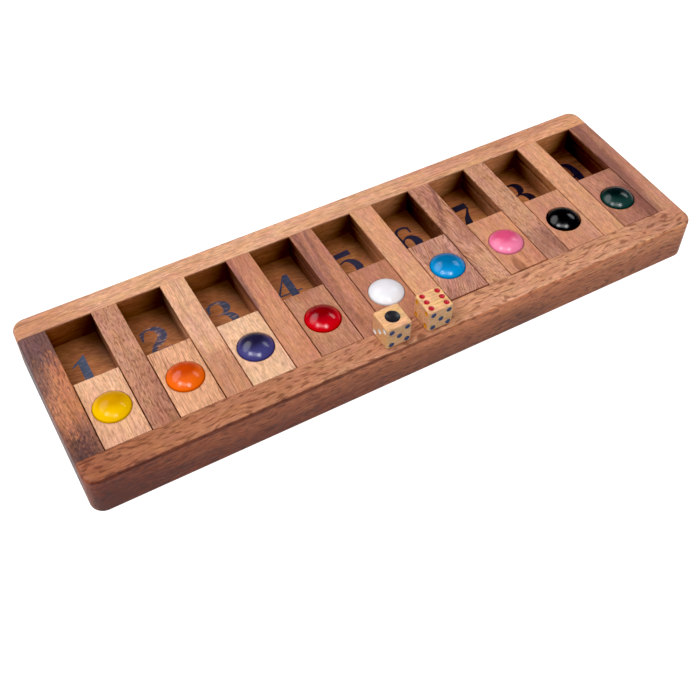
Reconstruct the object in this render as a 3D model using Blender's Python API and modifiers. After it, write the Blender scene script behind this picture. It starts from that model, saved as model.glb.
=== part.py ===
"""A sliding number game in wood: a long tray with nine wells, a domed tile in each well, and two dice.

All sizes are in metres. The origin is the middle of the tray's footprint, on its underside.
+X runs along the row of wells from 1 to 9, +Y from the player to the back rail, and +Z up.
"""

import math

import bmesh
import bpy
from mathutils import Matrix, Vector

# Tray
WELL_COUNT = 9
WELL_WIDTH = 0.0202
WELL_LENGTH = 0.0695
DIVIDER_WIDTH = 0.0114
LEFT_BLOCK_WIDTH = 0.0121
RIGHT_BLOCK_WIDTH = 0.0113
FRONT_RAIL_WIDTH = 0.0119
BACK_RAIL_WIDTH = 0.0114
TRAY_HEIGHT = 0.0212
FLOOR_THICKNESS = 0.0090
CORNER_RADIUS = 0.0059
TOP_ROUNDING = 0.0017
BOTTOM_ROUNDING = 0.0005
WELL_EDGE_ROUNDING = 0.0003
GLUE_LINE = 0.0001

# Groove along both sides of each well, which holds the tile down
GROOVE_BELOW_DECK = 0.0039
GROOVE_HEIGHT = 0.0023
GROOVE_DEPTH = 0.0020

# Tile
TILE_LENGTH = 0.0358
TILE_SIDE_GAP = 0.00045
TILE_END_GAP = 0.0003
TONGUE_GAP = 0.0003
TILE_ROUNDING = 0.0003

# Dome glued into a round seat in the tile
DOME_DIAMETER = 0.0159
DOME_RISE = 0.0040
SEAT_DEPTH = 0.0015
SEAT_SIDE_GAP = 0.0001

# Dice, placed on the front rail and measured from the middle of the tray and from its front
DIE_EDGE = 0.0120
DIE_ROUNDING = 0.0009
PIP_DIAMETER = 0.0026
PIP_DEPTH = 0.0005
PIP_SPREAD = 0.0037
ONE_PIP_DIAMETER = 0.0066
ONE_PIP_DEPTH = 0.0009
DIE_1_LEFT_OF_MIDDLE = 0.01055
DIE_2_RIGHT_OF_MIDDLE = 0.00953
DIE_1_FROM_FRONT = 0.0080
DIE_2_FROM_FRONT = 0.0077
DIE_1_TURN = math.radians(0.4)
DIE_2_TURN = math.radians(-0.8)
DIE_REST_GAP = 0.0001

# How far a cutter runs past the face that it cuts, and how near two places count as one
OVERRUN = 0.0010
TOLERANCE = 0.000001

# Steps of the round shapes
CORNER_STEPS = 8
ROUNDING_STEPS = 3
EDGE_STEPS = 2
DOME_SIDES = 32
DOME_STEPS = 6
PIP_SIDES = 12
PIP_RINGS = 6
ONE_PIP_SIDES = 16
ONE_PIP_RINGS = 10

# Where each dome sits off the middle of its tile, as shares of its radius: the seats are drilled by eye
DOME_OFFSET_SHARES = (
    (0.0, 0.0),
    (-0.02, -0.02),
    (0.0, 0.01),
    (0.02, 0.03),
    (-0.02, 0.03),
    (0.0, -0.01),
    (-0.03, -0.02),
    (0.0, -0.03),
    (-0.09, -0.12),
)

# How far each tile lies off its front stop at rest, as shares of the widest such gap
LOOSE_GAP = 0.0006
LOOSE_GAP_SHARES = (0.0, 0.0, 0.0, 0.0, 0.0, 1.0, 0.7, 0.0, 0.0)

# Pips of each face, as shares of PIP_SPREAD across and up the face
PIP_SHARES = {
    1: ((0, 0),),
    2: ((-1, -1), (1, 1)),
    3: ((-1, -1), (0, 0), (1, 1)),
    4: ((-1, -1), (-1, 1), (1, -1), (1, 1)),
    5: ((-1, -1), (-1, 1), (0, 0), (1, -1), (1, 1)),
    6: ((-1, -1), (-1, 0), (-1, 1), (1, -1), (1, 0), (1, 1)),
}

# Each face of a die: its number, the way it faces, and its own across and up directions
DIE_FACES = (
    (1, (0, 0, 1), (1, 0, 0), (0, 1, 0)),
    (6, (0, 0, -1), (1, 0, 0), (0, 1, 0)),
    (5, (0, -1, 0), (1, 0, 0), (0, 0, 1)),
    (2, (0, 1, 0), (-1, 0, 0), (0, 0, 1)),
    (3, (-1, 0, 0), (0, -1, 0), (0, 0, 1)),
    (4, (1, 0, 0), (0, 1, 0), (0, 0, 1)),
)

# Sizes that follow from those above
WELL_PITCH = WELL_WIDTH + DIVIDER_WIDTH
ROW_LENGTH = WELL_COUNT * WELL_PITCH - DIVIDER_WIDTH
TRAY_LENGTH = LEFT_BLOCK_WIDTH + ROW_LENGTH + RIGHT_BLOCK_WIDTH
TRAY_DEPTH = FRONT_RAIL_WIDTH + WELL_LENGTH + BACK_RAIL_WIDTH
TRAY_LEFT = -TRAY_LENGTH / 2
TRAY_FRONT = -TRAY_DEPTH / 2
ROW_LEFT = TRAY_LEFT + LEFT_BLOCK_WIDTH
WELL_FRONT = TRAY_FRONT + FRONT_RAIL_WIDTH
WELL_BACK = WELL_FRONT + WELL_LENGTH
WELL_MIDDLE = (WELL_FRONT + WELL_BACK) / 2
CROSSPIECE_LENGTH = WELL_LENGTH - 2 * GLUE_LINE
GROOVE_TOP = TRAY_HEIGHT - GROOVE_BELOW_DECK
GROOVE_BOTTOM = GROOVE_TOP - GROOVE_HEIGHT
TONGUE_TOP = GROOVE_TOP - TONGUE_GAP
TONGUE_BOTTOM = GROOVE_BOTTOM + TONGUE_GAP
TILE_HALF_WIDTH = WELL_WIDTH / 2 - TILE_SIDE_GAP
TONGUE_HALF_WIDTH = TILE_HALF_WIDTH + GROOVE_DEPTH
TILE_MIDDLE = WELL_FRONT + TILE_END_GAP + TILE_LENGTH / 2
DOME_RADIUS = DOME_DIAMETER / 2

# Colours (linear red, green, blue) and roughness
FRONT_RAIL_WOOD = (0.42, 0.19, 0.10)
BACK_RAIL_WOOD = (0.71, 0.37, 0.21)
LEFT_BLOCK_WOOD = (0.29, 0.13, 0.09)
RIGHT_BLOCK_WOOD = (0.41, 0.18, 0.11)
FLOOR_WOOD = (0.40, 0.20, 0.12)
DIE_WOOD = (0.80, 0.53, 0.27)
DIVIDER_WOODS = (
    (0.52, 0.26, 0.16),
    (0.73, 0.40, 0.25),
    (0.58, 0.25, 0.14),
    (0.46, 0.20, 0.12),
    (0.68, 0.33, 0.19),
    (0.47, 0.22, 0.14),
    (0.54, 0.27, 0.17),
    (0.69, 0.35, 0.20),
)
TILE_WOODS = (
    (0.79, 0.45, 0.28),
    (0.72, 0.38, 0.22),
    (0.82, 0.50, 0.33),
    (0.51, 0.24, 0.14),
    (0.47, 0.20, 0.12),
    (0.49, 0.24, 0.17),
    (0.62, 0.29, 0.17),
    (0.60, 0.27, 0.16),
    (0.45, 0.20, 0.13),
)
DOME_COLOURS = (
    (0.90, 0.62, 0.01),
    (0.87, 0.16, 0.02),
    (0.05, 0.03, 0.22),
    (0.55, 0.01, 0.02),
    (0.90, 0.90, 0.93),
    (0.01, 0.30, 0.72),
    (0.84, 0.14, 0.33),
    (0.01, 0.01, 0.01),
    (0.01, 0.05, 0.03),
)
WOOD_ROUGHNESS = 0.55
DOME_ROUGHNESS = 0.12

X, Y, Z = range(3)


def clear_scene():
    """Removes every object of the scene that the script starts in."""
    for obj in list(bpy.data.objects):
        bpy.data.objects.remove(obj, do_unlink=True)


def new_collection(name):
    """A collection in the scene."""
    collection = bpy.data.collections.new(name)
    bpy.context.scene.collection.children.link(collection)
    return collection


def finish(name, colour, roughness):
    """A non-metallic material."""
    material = bpy.data.materials.new(name)
    material.use_nodes = True
    shader = material.node_tree.nodes["Principled BSDF"]
    shader.inputs["Base Color"].default_value = (*colour, 1)
    shader.inputs["Roughness"].default_value = roughness
    shader.inputs["Metallic"].default_value = 0
    return material


def add(name, mesh, collection, location, material):
    """An object that shows the mesh, with a material of its own."""
    obj = bpy.data.objects.new(name, mesh)
    obj.location = location
    collection.objects.link(obj)
    mesh.materials.clear()
    mesh.materials.append(material)
    return obj


def mesh_of(name, shape):
    """The mesh of a bmesh, which is freed."""
    mesh = bpy.data.meshes.new(name)
    shape.to_mesh(mesh)
    shape.free()
    return mesh


def box(name, width, depth, height):
    """A box whose middle is the origin."""
    shape = bmesh.new()
    bmesh.ops.create_cube(shape, size=1)
    bmesh.ops.scale(shape, vec=(width, depth, height), verts=shape.verts)
    return mesh_of(name, shape)


def prism(name, outline, length):
    """The outline, given across and up, drawn out along Y to both sides of its own plane."""
    curve = bpy.data.curves.new(name, "CURVE")
    curve.dimensions = "2D"
    curve.fill_mode = "BOTH"
    curve.extrude = length / 2
    spline = curve.splines.new("POLY")
    spline.points.add(len(outline) - 1)
    for point, (across, up) in zip(spline.points, outline):
        point.co = (across, up, 0, 1)
    spline.use_cyclic_u = True
    guide = bpy.data.objects.new(name, curve)
    bpy.context.scene.collection.objects.link(guide)
    bpy.context.view_layer.update()
    drawn = guide.evaluated_get(bpy.context.evaluated_depsgraph_get())
    mesh = bpy.data.meshes.new_from_object(drawn)
    bpy.data.objects.remove(guide, do_unlink=True)
    shape = bmesh.new()
    shape.from_mesh(mesh)
    bmesh.ops.remove_doubles(shape, verts=shape.verts, dist=TOLERANCE)
    bmesh.ops.dissolve_limit(shape, angle_limit=math.radians(1), verts=shape.verts, edges=shape.edges)
    bmesh.ops.rotate(shape, matrix=Matrix.Rotation(math.radians(90), 3, "X"), verts=shape.verts)
    bmesh.ops.recalc_face_normals(shape, faces=shape.faces)
    shape.to_mesh(mesh)
    shape.free()
    return mesh


def lies_at(edge, axis, place):
    """Whether both ends of the edge are at that place along the axis."""
    return all(abs(corner.co[axis] - place) < TOLERANCE for corner in edge.verts)


def runs_along(edge, axis):
    """Whether the edge is parallel to the axis."""
    run = edge.verts[1].co - edge.verts[0].co
    return run.length - abs(run[axis]) < TOLERANCE


def round_edges(mesh, chosen, radius, steps):
    """Rounds each edge that chosen(edge) picks out."""
    shape = bmesh.new()
    shape.from_mesh(mesh)
    bmesh.ops.bevel(
        shape,
        geom=[edge for edge in shape.edges if chosen(edge)],
        offset=radius,
        offset_type="OFFSET",
        segments=steps,
        profile=0.5,
        affect="EDGES",
        clamp_overlap=True,
    )
    shape.to_mesh(mesh)
    shape.free()


def shade(mesh):
    """Smooth shading that keeps the corners sharp."""
    mesh.shade_smooth()
    mesh.set_sharp_from_angle(angle=math.radians(30))


def cut(obj, cutter):
    """Takes the cutter's shape out of the object."""
    modifier = obj.modifiers.new(cutter.name, "BOOLEAN")
    modifier.operation = "DIFFERENCE"
    modifier.solver = "EXACT"
    modifier.object = cutter


def hide_cutter(cutter):
    """Keeps a cutter out of the finished model."""
    cutter.hide_render = True
    cutter.display_type = "WIRE"


def well_middle(well):
    """The middle of a well along the tray, for wells counted from 0."""
    return ROW_LEFT + WELL_WIDTH / 2 + well * WELL_PITCH


def rail(name, width, outer_side, parts, material):
    """A rail over the whole length of the tray. outer_side is -1 at the front and 1 at the back."""
    mesh = box(name, TRAY_LENGTH, width, TRAY_HEIGHT)
    outer = outer_side * width / 2
    inner = -outer
    top = TRAY_HEIGHT / 2
    round_edges(
        mesh,
        lambda edge: runs_along(edge, Z) and lies_at(edge, Y, outer),
        CORNER_RADIUS,
        CORNER_STEPS,
    )
    round_edges(
        mesh,
        lambda edge: lies_at(edge, Z, top) and not lies_at(edge, Y, inner),
        TOP_ROUNDING,
        ROUNDING_STEPS,
    )
    round_edges(
        mesh,
        lambda edge: lies_at(edge, Z, -top) and not lies_at(edge, Y, inner),
        BOTTOM_ROUNDING,
        EDGE_STEPS,
    )
    shade(mesh)
    middle = outer_side * (TRAY_DEPTH - width) / 2
    return add(name, mesh, parts, (0, middle, TRAY_HEIGHT / 2), material)


def floor_board(parts, material):
    """The board between the rails and the end blocks. The numbers are printed on it."""
    width = ROW_LENGTH - 2 * GLUE_LINE
    mesh = box("base_board", width, CROSSPIECE_LENGTH, FLOOR_THICKNESS)
    middle = ROW_LEFT + ROW_LENGTH / 2
    return add("base_board", mesh, parts, (middle, WELL_MIDDLE, FLOOR_THICKNESS / 2), material)


def grooved_side(place, inward, bottom):
    """One side of a crosspiece from its bottom up, with the groove that a tongue runs in."""
    deep = place + inward * GROOVE_DEPTH
    return [
        (place, bottom),
        (place, GROOVE_BOTTOM),
        (deep, GROOVE_BOTTOM),
        (deep, GROOVE_TOP),
        (place, GROOVE_TOP),
        (place, TRAY_HEIGHT),
    ]


def divider(number, parts, material):
    """The crosspiece between two wells. It stands on the floor board and is grooved on both sides."""
    name = f"divider_{number}"
    half = DIVIDER_WIDTH / 2
    bottom = FLOOR_THICKNESS + GLUE_LINE
    left = grooved_side(-half, 1, bottom)
    right = grooved_side(half, -1, bottom)
    mesh = prism(name, left + right[::-1], CROSSPIECE_LENGTH)
    round_edges(
        mesh,
        lambda edge: lies_at(edge, Z, TRAY_HEIGHT) and runs_along(edge, Y),
        WELL_EDGE_ROUNDING,
        EDGE_STEPS,
    )
    shade(mesh)
    middle = well_middle(number - 1) + WELL_PITCH / 2
    return add(name, mesh, parts, (middle, WELL_MIDDLE, 0), material)


def end_block(name, width, outer_side, parts, material):
    """The crosspiece at an end of the tray. outer_side is -1 on the left and 1 on the right."""
    half = width / 2
    outer = outer_side * half
    inner = grooved_side(-outer, outer_side, 0)
    mesh = prism(name, [(outer, TRAY_HEIGHT), (outer, 0)] + inner, CROSSPIECE_LENGTH)
    round_edges(
        mesh,
        lambda edge: lies_at(edge, Z, TRAY_HEIGHT) and lies_at(edge, X, outer),
        TOP_ROUNDING,
        ROUNDING_STEPS,
    )
    round_edges(
        mesh,
        lambda edge: lies_at(edge, Z, TRAY_HEIGHT) and lies_at(edge, X, -outer),
        WELL_EDGE_ROUNDING,
        EDGE_STEPS,
    )
    round_edges(
        mesh,
        lambda edge: lies_at(edge, Z, 0) and lies_at(edge, X, outer),
        BOTTOM_ROUNDING,
        EDGE_STEPS,
    )
    shade(mesh)
    middle = outer_side * (TRAY_LENGTH - width) / 2
    return add(name, mesh, parts, (middle, WELL_MIDDLE, 0), material)


def slide_empty(well, parts):
    """The empty that carries a tile along its well. It stands under the middle of the tile at rest."""
    empty = bpy.data.objects.new(f"tile_{well + 1}_slide", None)
    loose = LOOSE_GAP_SHARES[well % len(LOOSE_GAP_SHARES)] * LOOSE_GAP
    empty.location = (well_middle(well), TILE_MIDDLE + loose, 0)
    parts.objects.link(empty)
    return empty


def dome_offset(well):
    """How far the dome's middle lies from the middle of its tile."""
    across, along = DOME_OFFSET_SHARES[well % len(DOME_OFFSET_SHARES)]
    return across * DOME_RADIUS, along * DOME_RADIUS


def seat_cutter(well, slide, cutters):
    """The drill that sinks the dome's seat into the tile."""
    shape = bmesh.new()
    bmesh.ops.create_cone(
        shape,
        cap_ends=True,
        segments=DOME_SIDES,
        radius1=DOME_RADIUS + SEAT_SIDE_GAP,
        radius2=DOME_RADIUS + SEAT_SIDE_GAP,
        depth=SEAT_DEPTH + OVERRUN,
    )
    name = f"seat_drill_{well + 1}"
    across, along = dome_offset(well)
    cutter = bpy.data.objects.new(name, mesh_of(name, shape))
    cutter.location = (across, along, TRAY_HEIGHT + (OVERRUN - SEAT_DEPTH) / 2)
    cutter.parent = slide
    cutters.objects.link(cutter)
    hide_cutter(cutter)
    return cutter


def tile(well, slide, parts, cutters, material):
    """A tile: flush with the deck, with a tongue along each side that runs in the grooves."""
    name = f"tile_{well + 1}"
    outline = [
        (-TONGUE_HALF_WIDTH, TONGUE_BOTTOM),
        (-TONGUE_HALF_WIDTH, TONGUE_TOP),
        (-TILE_HALF_WIDTH, TONGUE_TOP),
        (-TILE_HALF_WIDTH, TRAY_HEIGHT),
        (TILE_HALF_WIDTH, TRAY_HEIGHT),
        (TILE_HALF_WIDTH, TONGUE_TOP),
        (TONGUE_HALF_WIDTH, TONGUE_TOP),
        (TONGUE_HALF_WIDTH, TONGUE_BOTTOM),
    ]
    mesh = prism(name, outline, TILE_LENGTH)
    round_edges(
        mesh,
        lambda edge: lies_at(edge, Z, TRAY_HEIGHT),
        TILE_ROUNDING,
        EDGE_STEPS,
    )
    shade(mesh)
    obj = add(name, mesh, parts, (0, 0, 0), material)
    obj.parent = slide
    cut(obj, seat_cutter(well, slide, cutters))
    return obj


def dome(well, slide, parts, material):
    """A turned dome, with a short straight side that stands in the tile's seat."""
    name = f"dome_{well + 1}"
    sphere_radius = (DOME_RADIUS**2 + DOME_RISE**2) / (2 * DOME_RISE)
    rim_angle = math.asin(DOME_RADIUS / sphere_radius)
    profile = []
    for step in range(DOME_STEPS + 1):
        angle = rim_angle * step / DOME_STEPS
        height = DOME_RISE - sphere_radius * (1 - math.cos(angle))
        profile.append((sphere_radius * math.sin(angle), height))
    base = GLUE_LINE - SEAT_DEPTH
    profile += [(DOME_RADIUS, base), (0, base)]
    mesh = bpy.data.meshes.new(name)
    edges = [(index, index + 1) for index in range(len(profile) - 1)]
    mesh.from_pydata([(out, 0, up) for out, up in profile], edges, [])
    across, along = dome_offset(well)
    obj = add(name, mesh, parts, (across, along, TRAY_HEIGHT), material)
    obj.parent = slide
    screw = obj.modifiers.new("turn", "SCREW")
    screw.axis = "Z"
    screw.steps = DOME_SIDES
    screw.render_steps = DOME_SIDES
    screw.use_merge_vertices = True
    screw.merge_threshold = TOLERANCE
    screw.use_smooth_shade = True
    return obj


def pip_ball(shape, face, across_share, up_share):
    """Adds the ball that mills one pip to the cutter's shape."""
    number, normal, across, up = face
    normal, across, up = Vector(normal), Vector(across), Vector(up)
    wide = ONE_PIP_DIAMETER if number == 1 else PIP_DIAMETER
    deep = ONE_PIP_DEPTH if number == 1 else PIP_DEPTH
    ball_radius = ((wide / 2) ** 2 + deep**2) / (2 * deep)
    place = normal * (DIE_EDGE / 2 + ball_radius - deep)
    place += (across * across_share + up * up_share) * PIP_SPREAD
    turn = normal.to_track_quat("Z", "Y").to_matrix().to_4x4()
    bmesh.ops.create_uvsphere(
        shape,
        u_segments=ONE_PIP_SIDES if number == 1 else PIP_SIDES,
        v_segments=ONE_PIP_RINGS if number == 1 else PIP_RINGS,
        radius=ball_radius,
        matrix=Matrix.Translation(place) @ turn,
    )


def die_mesh(cutters):
    """The mesh that both dice share: a cube with eased edges and a hollow for each pip."""
    shape = bmesh.new()
    for face in DIE_FACES:
        for across_share, up_share in PIP_SHARES[face[0]]:
            pip_ball(shape, face, across_share, up_share)
    cutter = bpy.data.objects.new("pip_mill", mesh_of("pip_mill", shape))
    cutters.objects.link(cutter)
    hide_cutter(cutter)
    mesh = box("die", DIE_EDGE, DIE_EDGE, DIE_EDGE)
    round_edges(mesh, lambda edge: True, DIE_ROUNDING, EDGE_STEPS)
    blank = bpy.data.objects.new("die_blank", mesh)
    cutters.objects.link(blank)
    cut(blank, cutter)
    bpy.context.view_layer.update()
    milled = blank.evaluated_get(bpy.context.evaluated_depsgraph_get())
    finished = bpy.data.meshes.new_from_object(milled)
    finished.name = "die"
    hide_cutter(blank)
    shade(finished)
    return finished


def die(name, mesh, place, turn, flipped, parts, material):
    """A die on the front rail. A flipped one shows its six instead of its one."""
    obj = add(name, mesh, parts, (*place, TRAY_HEIGHT + DIE_REST_GAP + DIE_EDGE / 2), material)
    obj.rotation_euler = (0, math.pi if flipped else 0, turn)
    return obj


def build():
    """Makes the whole game."""
    clear_scene()
    parts = new_collection("sliding_number_game")
    cutters = new_collection("cutters")

    floor_board(parts, finish("floor_wood", FLOOR_WOOD, WOOD_ROUGHNESS))
    front_wood = finish("front_rail_wood", FRONT_RAIL_WOOD, WOOD_ROUGHNESS)
    back_wood = finish("back_rail_wood", BACK_RAIL_WOOD, WOOD_ROUGHNESS)
    rail("front_rail", FRONT_RAIL_WIDTH, -1, parts, front_wood)
    rail("back_rail", BACK_RAIL_WIDTH, 1, parts, back_wood)
    left_wood = finish("left_block_wood", LEFT_BLOCK_WOOD, WOOD_ROUGHNESS)
    right_wood = finish("right_block_wood", RIGHT_BLOCK_WOOD, WOOD_ROUGHNESS)
    end_block("end_block_left", LEFT_BLOCK_WIDTH, -1, parts, left_wood)
    end_block("end_block_right", RIGHT_BLOCK_WIDTH, 1, parts, right_wood)

    for number in range(1, WELL_COUNT):
        colour = DIVIDER_WOODS[(number - 1) % len(DIVIDER_WOODS)]
        divider(number, parts, finish(f"divider_{number}_wood", colour, WOOD_ROUGHNESS))

    for well in range(WELL_COUNT):
        slide = slide_empty(well, parts)
        wood = TILE_WOODS[well % len(TILE_WOODS)]
        tile(well, slide, parts, cutters, finish(f"tile_{well + 1}_wood", wood, WOOD_ROUGHNESS))
        colour = DOME_COLOURS[well % len(DOME_COLOURS)]
        dome(well, slide, parts, finish(f"dome_{well + 1}_glass", colour, DOME_ROUGHNESS))

    shared = die_mesh(cutters)
    die_wood = finish("die_wood", DIE_WOOD, WOOD_ROUGHNESS)
    place_1 = (-DIE_1_LEFT_OF_MIDDLE, TRAY_FRONT + DIE_1_FROM_FRONT)
    place_2 = (DIE_2_RIGHT_OF_MIDDLE, TRAY_FRONT + DIE_2_FROM_FRONT)
    die("die_1", shared, place_1, DIE_1_TURN, False, parts, die_wood)
    die("die_2", shared, place_2, DIE_2_TURN, True, parts, die_wood)


build()
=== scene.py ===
"""Looks of a wooden number game: a tray with nine slots, nine sliding tiles with domes, and two dice."""

import math

import bmesh
import bpy
from mathutils import Euler, Matrix, Vector


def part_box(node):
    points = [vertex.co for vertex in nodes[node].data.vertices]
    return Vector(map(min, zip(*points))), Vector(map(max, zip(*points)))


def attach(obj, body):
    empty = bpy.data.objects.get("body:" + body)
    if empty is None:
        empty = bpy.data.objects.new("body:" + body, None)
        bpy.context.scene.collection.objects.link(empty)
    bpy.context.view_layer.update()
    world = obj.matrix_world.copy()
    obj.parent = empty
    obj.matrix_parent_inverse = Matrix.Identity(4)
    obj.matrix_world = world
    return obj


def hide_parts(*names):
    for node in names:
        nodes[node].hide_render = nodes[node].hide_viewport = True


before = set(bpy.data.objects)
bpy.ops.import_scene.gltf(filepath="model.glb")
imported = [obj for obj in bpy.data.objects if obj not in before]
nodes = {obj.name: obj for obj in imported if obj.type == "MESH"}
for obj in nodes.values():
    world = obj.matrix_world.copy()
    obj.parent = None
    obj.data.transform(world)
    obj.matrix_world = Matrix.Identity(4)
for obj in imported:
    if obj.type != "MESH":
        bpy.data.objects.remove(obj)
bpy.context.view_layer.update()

MM = 0.001
WELL_COUNT = 9

# Camera: where the photograph was taken from, in metres, its turn in degrees and its lens in millimetres
CAMERA_PLACE = (-0.1645, -0.27282, 0.3528)
CAMERA_TURN = (39.352, -0.301, -29.393)
CAMERA_LENS = 53.289
CAMERA_SENSOR = 36
CAMERA_NEAR = 0.01
CAMERA_FAR = 20

# Smooth shading: corners closer than this are one, edges over these angles, in degrees, stay sharp,
# and large faces count most
WELD_DISTANCE = 0.002 * MM
BOARD_SHARP_ANGLE = 32
DOME_SHARP_ANGLE = 40
DIE_SHARP_ANGLE = 28
LARGE_FACE_WEIGHT = 100

# Domes: how the round shape is turned, with the rounding in millimetres
DOME_RIM_ROUNDING = 0.35
DOME_SIDES = 96
DOME_CAP_STEPS = 28
DOME_RIM_STEPS = 5

# Dice, in millimetres and degrees, as in the CAD part
DIE_EDGE = 12.0
DIE_ROUNDING = 0.9
DIE_ROUNDING_STEPS = 5
DIE_TURNS = {"die_1": 0.4, "die_2": -0.8}
DIE_FLIPPED = {"die_1": False, "die_2": True}
PIP_DIAMETER = 2.6
PIP_DEPTH = 0.5
PIP_SPREAD = 3.7
ONE_PIP_DIAMETER = 6.6
ONE_PIP_DEPTH = 0.9
PIP_SIDES = 40
PIP_RINGS = 24

# Ink of the numerals, in millimetres
INK_ABOVE_FLOOR = 0.03
INK_BELOW_FLOOR = 0.05
INK_CURVE_STEPS = 8

# Sockets of the colour mixing node: its share, its two colours and its result
MIX_SHARE, MIX_FIRST, MIX_SECOND, MIX_RESULT = 0, 6, 7, 2


class Paint:
    """One material and short calls for its nodes. A value is a socket or plain numbers."""

    def __init__(self, name):
        self.material = bpy.data.materials.new(name)
        self.material.use_nodes = True
        self.tree = self.material.node_tree
        self.shader = self.tree.nodes["Principled BSDF"]
        self.place = self.add("ShaderNodeTexCoord").outputs["Object"]

    def add(self, kind, **settings):
        node = self.tree.nodes.new(kind)
        for key, value in settings.items():
            setattr(node, key, value)
        return node

    def feed(self, socket, value):
        if isinstance(value, bpy.types.NodeSocket):
            self.tree.links.new(value, socket)
        else:
            socket.default_value = value

    def math(self, operation, first, second=0.0, clamp=False):
        node = self.add("ShaderNodeMath", operation=operation, use_clamp=clamp)
        self.feed(node.inputs[0], first)
        self.feed(node.inputs[1], second)
        return node.outputs[0]

    def times(self, first, second):
        return self.math("MULTIPLY", first, second)

    def plus(self, first, second):
        return self.math("ADD", first, second)

    def minus(self, first, second):
        return self.math("SUBTRACT", first, second)

    def vector(self, operation, first, second=(0, 0, 0)):
        node = self.add("ShaderNodeVectorMath", operation=operation)
        self.feed(node.inputs[0], first)
        self.feed(node.inputs[1], second)
        return node.outputs["Value" if operation == "LENGTH" else "Vector"]

    def split(self, place):
        node = self.add("ShaderNodeSeparateXYZ")
        self.feed(node.inputs[0], place)
        return list(node.outputs)

    def mapped(self, place, move=(0, 0, 0), turn=(0, 0, 0), size=(1, 1, 1), kind="POINT"):
        node = self.add("ShaderNodeMapping", vector_type=kind)
        self.feed(node.inputs["Vector"], place)
        self.feed(node.inputs["Location"], move)
        self.feed(node.inputs["Rotation"], turn)
        self.feed(node.inputs["Scale"], size)
        return node.outputs[0]

    def noise(self, place, detail=2.0, roughness=0.5, output="Fac"):
        node = self.add("ShaderNodeTexNoise")
        self.feed(node.inputs["Vector"], place)
        self.feed(node.inputs["Scale"], 1.0)
        self.feed(node.inputs["Detail"], detail)
        self.feed(node.inputs["Roughness"], roughness)
        return node.outputs[output]

    def ramp(self, value, low, high, first=0.0, last=1.0):
        node = self.add("ShaderNodeMapRange", interpolation_type="SMOOTHSTEP")
        self.feed(node.inputs["Value"], value)
        self.feed(node.inputs["From Min"], low)
        self.feed(node.inputs["From Max"], high)
        self.feed(node.inputs["To Min"], first)
        self.feed(node.inputs["To Max"], last)
        return node.outputs[0]

    def mix(self, share, first, second, blend="MIX"):
        node = self.add("ShaderNodeMix", data_type="RGBA", blend_type=blend)
        self.feed(node.inputs[MIX_SHARE], share)
        self.feed(node.inputs[MIX_FIRST], first)
        self.feed(node.inputs[MIX_SECOND], second)
        return node.outputs[MIX_RESULT]

    def bump(self, height, strength, distance):
        node = self.add("ShaderNodeBump")
        self.feed(node.inputs["Strength"], strength)
        self.feed(node.inputs["Distance"], distance)
        self.feed(node.inputs["Height"], height)
        self.tree.links.new(node.outputs[0], self.shader.inputs["Normal"])

    def set(self, **values):
        for key, value in values.items():
            self.feed(self.shader.inputs[key.replace("_", " ")], value)


def tone(red, green, blue, level=1.0):
    """A linear colour from the 0 to 255 numbers that a picture shows, by the sRGB curve."""
    linear = []
    for part in (red, green, blue):
        share = part / 255
        value = share / 12.92 if share <= 0.04045 else ((share + 0.055) / 1.055) ** 2.4
        linear.append(min(value * level, 1.0))
    return (*linear, 1.0)


def scaled(colour, level):
    """A linear colour made lighter or darker."""
    return (*[min(part * level, 1.0) for part in colour[:3]], 1.0)


# How much darker a surface is painted than it shows, because the lamps light it above 1
LIGHT_LEVEL = 0.92

# Turns of the grain about the upright axis, in degrees
ALONG_X = 0.0
ALONG_Y = -90.0

# Where the tray's slots lie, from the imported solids, in metres
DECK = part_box("front_rail")[1].z
FLOOR_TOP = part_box("base_board")[1].z
SLOT_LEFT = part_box("end_block_left")[1].x
SLOT_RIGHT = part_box("end_block_right")[0].x
SLOT_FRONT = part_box("front_rail")[1].y
SLOT_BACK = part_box("back_rail")[0].y
SLOT_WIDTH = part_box("divider_1")[0].x - SLOT_LEFT
SLOT_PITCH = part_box("divider_2")[0].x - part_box("divider_1")[0].x
TILE_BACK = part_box("tile_1")[1].y

# The painted shade inside reaches this far past the slots' sides and ends, and past the grooves of the end
# slots, and fades in between these depths below the deck
INSIDE_SHADE_MARGIN = 0.3 * MM
GROOVE_SHADE_MARGIN = 3.0 * MM
SHADE_STARTS_BELOW_DECK = (0.25 * MM, 1.1 * MM)

# Inside the slots the wood is painted darker and redder as painted shade, deepest as a painted shadow in
# the right corner at the back, by the squared shares across and back and the weighted share down. A tint
# is what is left of red, green and blue.
INSIDE_SHADE_TINT = (0.56, 0.43, 0.32)
CORNER_SHADOW_TINT = (0.07, 0.05, 0.035)
CORNER_SHADOW_DEPTH_WEIGHT = 0.5
CORNER_SHADOW_RANGE = (0.9, 2.2)

# Next to the tile's end the painted shade gives way to painted light: the tint is lighter, and fades out at
# this share of the way to the back
NEAR_TILE_LIGHT_TINT = (0.92, 0.78, 0.64)
NEAR_TILE_LIGHT_REACH = 0.5
NEAR_TILE_LIGHT_STRENGTH = 0.6

# In the narrow gaps beside the tiles the painted shade is lighter near the deck, and fades out between
# these depths
GAP_SHADE_TINT = (0.95, 0.62, 0.42)
GAP_SHADE_DEPTHS = (4.0 * MM, 1.8 * MM)

# From left to right, in metres, where a piece's painted inside shade turns into its second one
INSIDE_SHADE_TURN = (-0.03, 0.06)

# Brightness of the outer sides at the foot and the deck: painted shade that darkens them towards the foot
SIDE_SHADE_FADE = (0.79, 1.07)

# The painted shadow line round each dome, partly the seat's dark joint: its width in millimetres, and the
# inner share of it that is darkest
SEAT_SHADOW_RING = 0.45
SEAT_SHADOW_DARKEST_SHARE = 0.2
SEAT_SHADOW_STRENGTH = 0.6
SEAT_SHADOW_TINT = (0.42, 0.27, 0.18, 1)

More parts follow.
